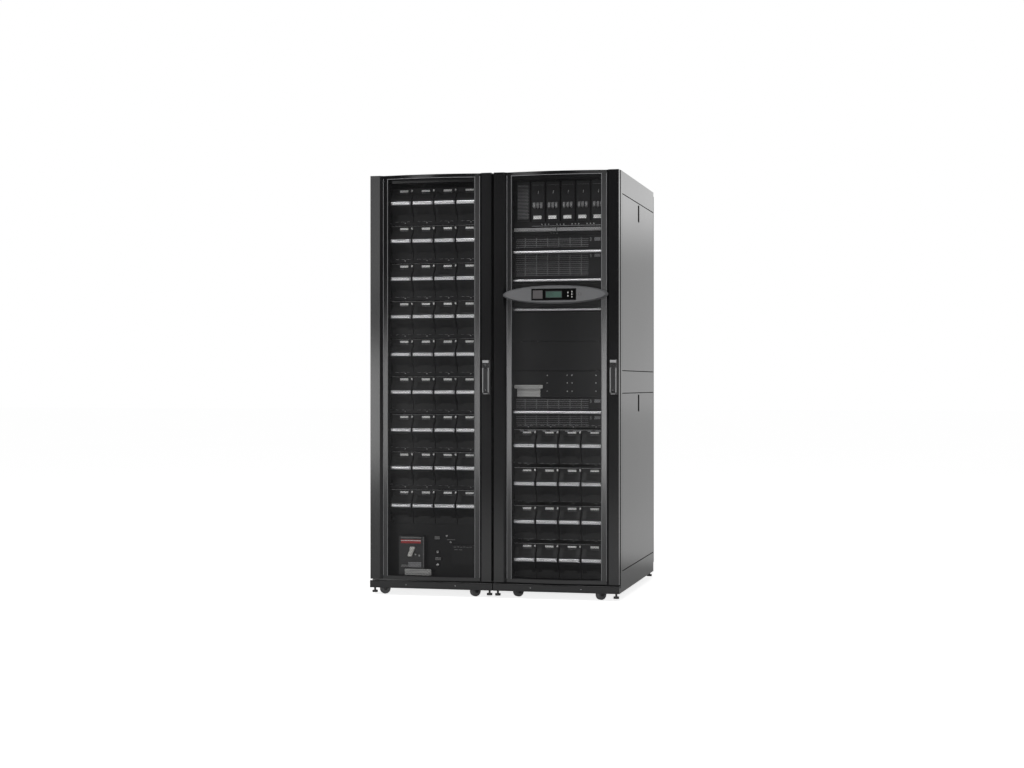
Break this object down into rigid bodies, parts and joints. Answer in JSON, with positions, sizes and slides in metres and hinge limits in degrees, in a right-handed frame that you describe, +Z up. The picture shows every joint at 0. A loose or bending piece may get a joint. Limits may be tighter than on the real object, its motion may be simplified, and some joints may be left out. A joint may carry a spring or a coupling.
{
  "type": "modular ups cabinet",
  "caption": "Two bayed floor-standing enclosures on casters: battery modules on the left, power and distribution modules on the right, behind hinged perforated doors.",
  "frame": {"origin": "on the floor, under the middle of the whole object", "axes": "+Z up, front doors face -Y, +X towards the power cabinet on the right"},
  "size_m": [1.2, 1.1196, 1.991],
  "materials": {
    "black_paint": "satin",
    "black_mesh": "satin",
    "dark_paint": "matte",
    "zinc": "satin",
    "silver": "satin",
    "module_plastic": "satin",
    "grey_plastic": "satin",
    "dark_plastic": "satin",
    "screen": "gloss",
    "pale_paint": "satin",
    "white_plastic": "satin",
    "wheel_rubber": "matte"
  },
  "bodies": {
    "cabinet": {"frame_posts": "black_paint", "frame_bands": "black_paint", "cross_members": "black_paint", "plinths": "black_paint", "side_skirts": "black_paint", "joining_strips": "black_paint", "floor_plates": "dark_paint", "roofs": "black_paint", "side_panels": "black_paint", "panel_latches": "dark_plastic", "rear_doors": "black_paint", "rear_handles": "dark_plastic", "levelling_feet": "zinc", "caster_plates": "zinc", "rear_forks": "zinc", "rear_wheels": "wheel_rubber", "rack_rails": "dark_paint", "shelves": "dark_paint", "battery_modules": "module_plastic", "battery_bars": "silver", "power_modules": "module_plastic", "wide_bars": "silver", "cover_panels": "dark_paint", "rating_plate": "pale_paint", "distribution_modules": "dark_plastic", "distribution_toggles": "module_plastic", "distribution_tray": "dark_paint", "distribution_ledge": "silver", "battery_breaker": "dark_plastic", "breaker_toggle": "white_plastic", "connectors": "dark_plastic", "hinge_arms": "dark_paint"},
    "left_door": {"left_door_frame": "black_paint", "left_door_mesh": "black_mesh", "left_handle_base": "grey_plastic"},
    "right_door": {"right_door_frame": "black_paint", "right_door_mesh": "black_mesh", "right_handle_base": "grey_plastic", "display_housing": "grey_plastic", "display_panel": "dark_plastic", "display_screen": "screen", "display_buttons": "grey_plastic"},
    "left_lever": {"left_handle_lever": "dark_plastic"},
    "right_lever": {"right_handle_lever": "dark_plastic"},
    "fork_1": {"front_fork_1": "zinc"},
    "wheel_1": {"front_wheel_1": "wheel_rubber"},
    "fork_2": {"front_fork_2": "zinc"},
    "wheel_2": {"front_wheel_2": "wheel_rubber"},
    "fork_3": {"front_fork_3": "zinc"},
    "wheel_3": {"front_wheel_3": "wheel_rubber"},
    "fork_4": {"front_fork_4": "zinc"},
    "wheel_4": {"front_wheel_4": "wheel_rubber"}
  },
  "joints": [
    {"name": "left_door_swing", "type": "hinge", "parent": "cabinet", "child": "left_door", "pos_m": [-0.583, -0.51725, 1], "axis": [0, 0, -1], "range_deg": [0, 100]},
    {"name": "left_lever_pull", "type": "hinge", "parent": "left_door", "child": "left_lever", "pos_m": [-0.0305, -0.53825, 0.972], "axis": [1, 0, 0], "range_deg": [0, 60]},
    {"name": "right_door_swing", "type": "hinge", "parent": "cabinet", "child": "right_door", "pos_m": [0.021, -0.51725, 1], "axis": [0, 0, -1], "range_deg": [0, 100]},
    {"name": "right_lever_pull", "type": "hinge", "parent": "right_door", "child": "right_lever", "pos_m": [0.5735, -0.53825, 0.972], "axis": [1, 0, 0], "range_deg": [0, 60]},
    {"name": "fork_1_swivel", "type": "hinge", "parent": "cabinet", "child": "fork_1", "pos_m": [-0.522, -0.44525, 0.06], "axis": [0, 0, 1], "continuous": true},
    {"name": "wheel_1_roll", "type": "hinge", "parent": "fork_1", "child": "wheel_1", "pos_m": [-0.54695, -0.45796, 0.025], "axis": [0.454, -0.891, 0], "continuous": true},
    {"name": "fork_2_swivel", "type": "hinge", "parent": "cabinet", "child": "fork_2", "pos_m": [-0.08, -0.44525, 0.06], "axis": [0, 0, 1], "continuous": true},
    {"name": "wheel_2_roll", "type": "hinge", "parent": "fork_2", "child": "wheel_2", "pos_m": [-0.0998, -0.46505, 0.025], "axis": [0.7071, -0.7071, 0], "continuous": true},
    {"name": "fork_3_swivel", "type": "hinge", "parent": "cabinet", "child": "fork_3", "pos_m": [0.08, -0.44525, 0.06], "axis": [0, 0, 1], "continuous": true},
    {"name": "wheel_3_roll", "type": "hinge", "parent": "fork_3", "child": "wheel_3", "pos_m": [0.0998, -0.42545, 0.025], "axis": [-0.7071, 0.7071, 0], "continuous": true},
    {"name": "fork_4_swivel", "type": "hinge", "parent": "cabinet", "child": "fork_4", "pos_m": [0.522, -0.44525, 0.06], "axis": [0, 0, 1], "continuous": true},
    {"name": "wheel_4_roll", "type": "hinge", "parent": "fork_4", "child": "wheel_4", "pos_m": [0.5029, -0.46573, 0.025], "axis": [0.7314, -0.682, 0], "continuous": true}
  ]
}
